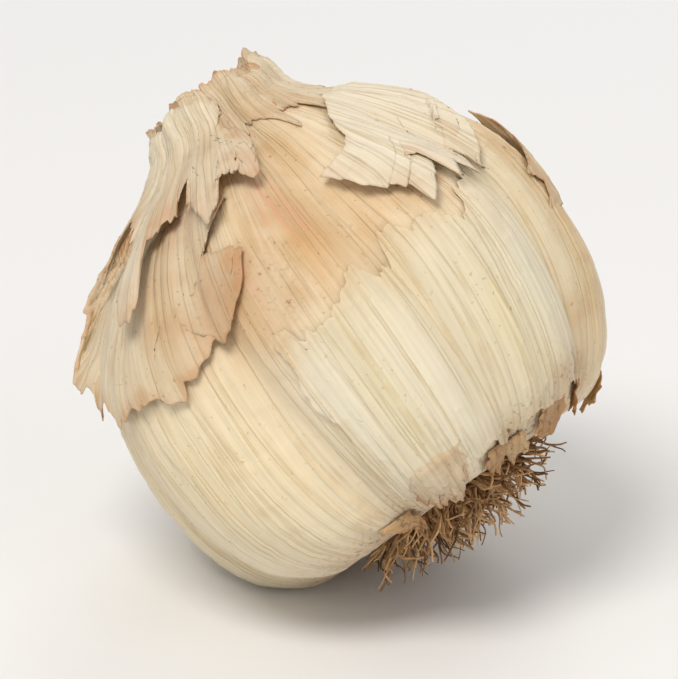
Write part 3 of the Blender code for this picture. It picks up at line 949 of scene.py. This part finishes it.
neckSheathMake = {
    "grid": (130, 26),
    "thickness": 0.16 * mm,
    "tone": {"tan": 0.22},
    "rust": 0.9,
    "strips": 13,
    "tear": 0.38,  # how much of its height is torn
    "sidesLower": 0.5,
    "pleats": (30, 0.8),
    "onBodyShare": 0.6,  # share of an outside sheath that lies on the body
    "startStrips": 9,
    "startStepFrom": 0.4,
    "startTear": 0.7,
    "startLower": 0.5,
    "rimPlace": 15.7,
    "lift": (0.15 * mm, 0.30 * mm),  # at its start, and more of it further up
    "pleatLift": 0.3 * mm,
    "pleatShare": 0.14,  # of the radius
    "flare": 0.10,
    "insideFrom": 0.93,  # share of the neck's height at which the inside sheaths start
    "insidePlace": 15.0,  # where the stains inside are taken from
}


def neckSheathPoint(sheath, across, along):
    make, seed = neckSheathMake, sheath["seed"]
    azimuth = math.radians(sheath["azimuth"] + across * sheath["halfWidth"])
    torn = 1 - make["tear"] * (1 - stripEnd(across, make["strips"], seed))
    torn *= 1 - make["sidesLower"] * abs(across) ** 3
    pleat = ringNoise(azimuth, along, make["pleats"], y=seed)
    onBody = smoothStep(0.0, make["onBodyShare"], along)
    beyond = max(0.0, along - make["onBodyShare"]) / (1 - make["onBodyShare"])
    if "from" in sheath:
        start = sheath["from"] - make["startLower"]
        start += make["startTear"] * stripEnd(across, make["startStrips"], seed + 3, make["startStepFrom"])
        place = start + (make["rimPlace"] - start) * min(1.0, along / make["onBodyShare"])
        first, more = make["lift"]
        lift = first + (more + make["pleatLift"] * abs(pleat)) * onBody
        lift += max(0.0, wrapperRelief(azimuth, place))
        point = liftedPoint(azimuth, place, lift)
        point.z += sheath["reach"] * torn * beyond
        return azimuth, place, point
    crushed = sheath["crush"] * math.sin(2 * azimuth + seed)
    radius = bulb["neckRadius"] * sheath["share"]
    radius *= 1 + make["pleatShare"] * pleat + make["flare"] * beyond + crushed
    foot = make["insideFrom"] * bulb["neckTop"]
    height = foot + (bulb["neckTop"] + sheath["reach"] * torn - foot) * along
    point = Vector((math.cos(azimuth) * radius, math.sin(azimuth) * radius, height))
    return azimuth, make["insidePlace"], point + neckBendAt(height)


for index, sheath in enumerate(neckSheaths):
    makeSheet(
        f"neckSheath{index + 1}", *neckSheathMake["grid"],
        lambda across, along: neckSheathPoint(sheath, across, along), neckSheathMake["thickness"], False,
        flakeMaterial, "wrapper_skin", neckSheathMake["tone"], neckSheathMake["rust"],
    )
print("neck sheaths made")

# The roots
roots = {
    "count": 400,
    "stations": 18,
    "sides": 6,
    "baseRadius": (0.15 * mm, 0.36 * mm),
    "tipShare": 0.35,
    "wiggle": 1.5 * mm,
    "wiggles": 2.2,  # along a root
    "plateShare": 0.93,  # of the plate's radius that bears roots
    "fromHeight": 1.3 * mm,
    "spread": (6, 46),  # degrees at the middle of the tuft, and more of it at its rim
    "spreadRandom": 0.30,
    "length": (0.98, 0.22),  # at the middle of the tuft, and how much less at its rim
    "lengthRandom": (-0.40, 0.05),
    "curl": 1.8,
    "curlShare": 0.20,
    "turnRandom": 0.15,
    "toneRandom": (0.0, 0.9),
    "tonePower": 1.5,
    "tipTone": 0.14,
    "floorGap": 0.15 * mm,
}
goldenAngle = math.pi * (3 - math.sqrt(5))  # each root stands at this angle from the one before


def rootPath(index, rng):
    share = math.sqrt((index + 0.5) / roots["count"])
    azimuth = index * goldenAngle + rng.uniform(-roots["turnRandom"], roots["turnRandom"])
    start = roots["plateShare"] * bulb["plateRadius"] * share
    middle, more = roots["spread"]
    spread = math.radians(middle + more * share**2)
    spread += rng.uniform(-roots["spreadRandom"], roots["spreadRandom"])
    longest, less = roots["length"]
    length = bulb["rootLength"] * (longest - less * share + rng.uniform(*roots["lengthRandom"]))
    curl = rng.uniform(-roots["curl"], roots["curl"])
    seed = rng.uniform(0, 100)
    points = []
    for station in range(roots["stations"]):
        along = station / (roots["stations"] - 1)
        out = start + along * length * math.sin(spread)
        turn = azimuth + curl * roots["curlShare"] * along**2
        down = roots["fromHeight"] - along * length * math.cos(spread)
        bend = along * roots["wiggles"]
        sway = Vector((
            noise.noise(Vector((seed, bend, 0.0))),
            noise.noise(Vector((seed, bend, 7.0))),
            0.5 * noise.noise(Vector((seed, bend, 14.0))),
        )) * roots["wiggle"] * 2 * along
        world = lean @ (Vector((out * math.cos(turn), out * math.sin(turn), down)) + sway)
        world.z = max(world.z, roots["floorGap"])
        points.append(world)
    return points


def addTube(verts, faces, points, radii, sides):
    # a closed tube along the points
    first = len(verts)
    across = None
    for index, point in enumerate(points):
        ahead = points[min(index + 1, len(points) - 1)] - points[max(index - 1, 0)]
        if across is None:
            across = ahead.orthogonal().normalized()
        across = (across - ahead * (across.dot(ahead) / ahead.length_squared)).normalized()
        other = ahead.normalized().cross(across)
        for side in range(sides):
            angle = 2 * math.pi * side / sides
            offset = across * math.cos(angle) + other * math.sin(angle)
            verts.append(point + offset * radii[index])
    for ring in range(len(points) - 1):
        for side in range(sides):
            a = first + ring * sides + side
            b = first + ring * sides + (side + 1) % sides
            faces.append((a, b, b + sides, a + sides))
    faces.append(tuple(first + side for side in reversed(range(sides))))
    last = first + (len(points) - 1) * sides
    faces.append(tuple(last + side for side in range(sides)))


def makeRoots():
    rng = random.Random(7)
    verts, faces, rows = [], [], []
    for index in range(roots["count"]):
        points = rootPath(index, rng)
        base = rng.uniform(*roots["baseRadius"])
        steps = len(points) - 1
        radii = [base * (1 - (1 - roots["tipShare"]) * step / steps) for step in range(steps + 1)]
        tone = rng.uniform(*roots["toneRandom"]) ** roots["tonePower"]
        addTube(verts, faces, points, radii, roots["sides"])
        for step in range(steps + 1):
            rows += [{"rootTone": (tone + roots["tipTone"] * step / steps, 0.0, 0.0)}] * roots["sides"]
    mesh = bpy.data.meshes.new("dryRoots")
    mesh.from_pydata([tuple(v) for v in verts], [], faces)
    mesh.update()
    setAttributes(mesh, rows)
    piece = addPiece("dryRoots", mesh, rootMaterial)
    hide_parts("root_tuft")


plate = {
    "segments": 96,
    "rings": 40,
    "top": 3.05 * mm,
    "foot": 0.4 * mm,
    "radiusShare": 0.95,
    "flatness": 0.45,  # 1 is a globe, and less is a flatter disc
    "rimPower": 0.4,
    "scabsPerMetre": 700,
    "scabShare": 0.03,  # of the radius
    "scabHeight": 0.35 * mm,
}


def makePlate():
    # the corky plate under the roots: a rough disc, flat above and below and round at the rim
    shape = bmesh.new()
    bmesh.ops.create_uvsphere(
        shape, u_segments=plate["segments"], v_segments=plate["rings"], radius=1.0
    )
    middle = (plate["top"] + plate["foot"]) / 2
    half = (plate["top"] - plate["foot"]) / 2
    for vertex in shape.verts:
        flatter = math.copysign(abs(vertex.co.z) ** plate["flatness"], vertex.co.z)
        across = Vector((vertex.co.x, vertex.co.y, 0.0))
        reach = across.length ** plate["rimPower"] * plate["radiusShare"] * bulb["plateRadius"]
        point = across.normalized() * reach if across.length > 1e-6 else Vector()
        at = Vector((point.x, point.y, flatter * 0.002)) * plate["scabsPerMetre"]
        rough = noise.fractal(at, 1.0, 2.0, 4)
        point.z = middle + half * flatter
        point += Vector((point.x, point.y, 0.0)) * plate["scabShare"] * rough
        if flatter < 0:
            point.z += plate["scabHeight"] * rough
        vertex.co = lean @ point
    bmesh.ops.recalc_face_normals(shape, faces=shape.faces)
    mesh = bpy.data.meshes.new("corkyPlate")
    shape.to_mesh(mesh)
    shape.free()
    addPiece("corkyPlate", mesh, corkMaterial)


makeRoots()
makePlate()
print("roots made")


def makeStage():
    # a plain pale surface
    look = {"size": 4.0, "colour": "#E4E5E7", "roughness": 0.7, "gloss": 0.2}
    bpy.ops.mesh.primitive_plane_add(size=look["size"], location=(0, 0, 0))
    floor = bpy.context.object
    floor.name = "paleFloor"
    material, tree = newMaterial("pale matt floor")
    shader = addNode(
        tree, "ShaderNodeBsdfPrincipled",
        {"Base Color": linearColour(look["colour"]), "Roughness": look["roughness"],
         "Specular IOR Level": look["gloss"]},
    )
    addNode(tree, "ShaderNodeOutputMaterial", {"Surface": shader.outputs[0]})
    floor.data.materials.append(material)


def makeLight(name, place, aim, size, power, colour):
    lamp = bpy.data.lights.new(name, "AREA")
    lamp.shape = "DISK"
    lamp.size = size
    lamp.energy = power
    lamp.color = linearColour(colour)[:3]
    light = bpy.data.objects.new(name, lamp)
    light.location = place
    light.rotation_euler = (Vector(aim) - Vector(place)).to_track_quat("-Z", "Y").to_euler()
    bpy.context.scene.collection.objects.link(light)


studio = {
    "aim": (0.0, 0.0, 0.03),
    "sky": "#FAF8F5",
    "skyPower": 0.55,
    "lights": [
        # name, place, size in metres, power in watts, colour
        ("keyLight", (-0.26, -0.46, 0.84), 0.45, 6.2, "#FFF9F0"),
        ("fillLight", (0.75, -0.50, 0.35), 0.80, 1.55, "#FFF3E2"),
        ("backLight", (0.25, 0.80, 0.55), 0.60, 2.4, "#FFFFFF"),
    ],
}


def makeStudio():
    for name, place, size, power, colour in studio["lights"]:
        makeLight(name, place, studio["aim"], size, power, colour)
    world = bpy.data.worlds.new("softStudio")
    bpy.context.scene.world = world
    world.use_nodes = True
    sky = world.node_tree.nodes["Background"]
    sky.inputs[0].default_value = linearColour(studio["sky"])
    sky.inputs[1].default_value = studio["skyPower"]


def makeCamera():
    view = {
        "elevation": math.radians(22), "distance": 0.60, "aim": Vector((0.0, 0.0, 0.030)),
        "width": 0.0847,
    }
    lens = bpy.data.cameras.new("camera")
    lens.sensor_width = 36.0
    lens.lens = lens.sensor_width * view["distance"] / view["width"]
    camera = bpy.data.objects.new("camera", lens)
    back = Vector((0.0, -math.cos(view["elevation"]), math.sin(view["elevation"])))
    camera.location = view["aim"] + back * view["distance"]
    camera.rotation_euler = (-back).to_track_quat("-Z", "Y").to_euler()
    bpy.context.scene.collection.objects.link(camera)
    bpy.context.scene.camera = camera
    bpy.context.scene.view_settings.view_transform = "Standard"


makeStage()
makeStudio()
makeCamera()
print("studio made")
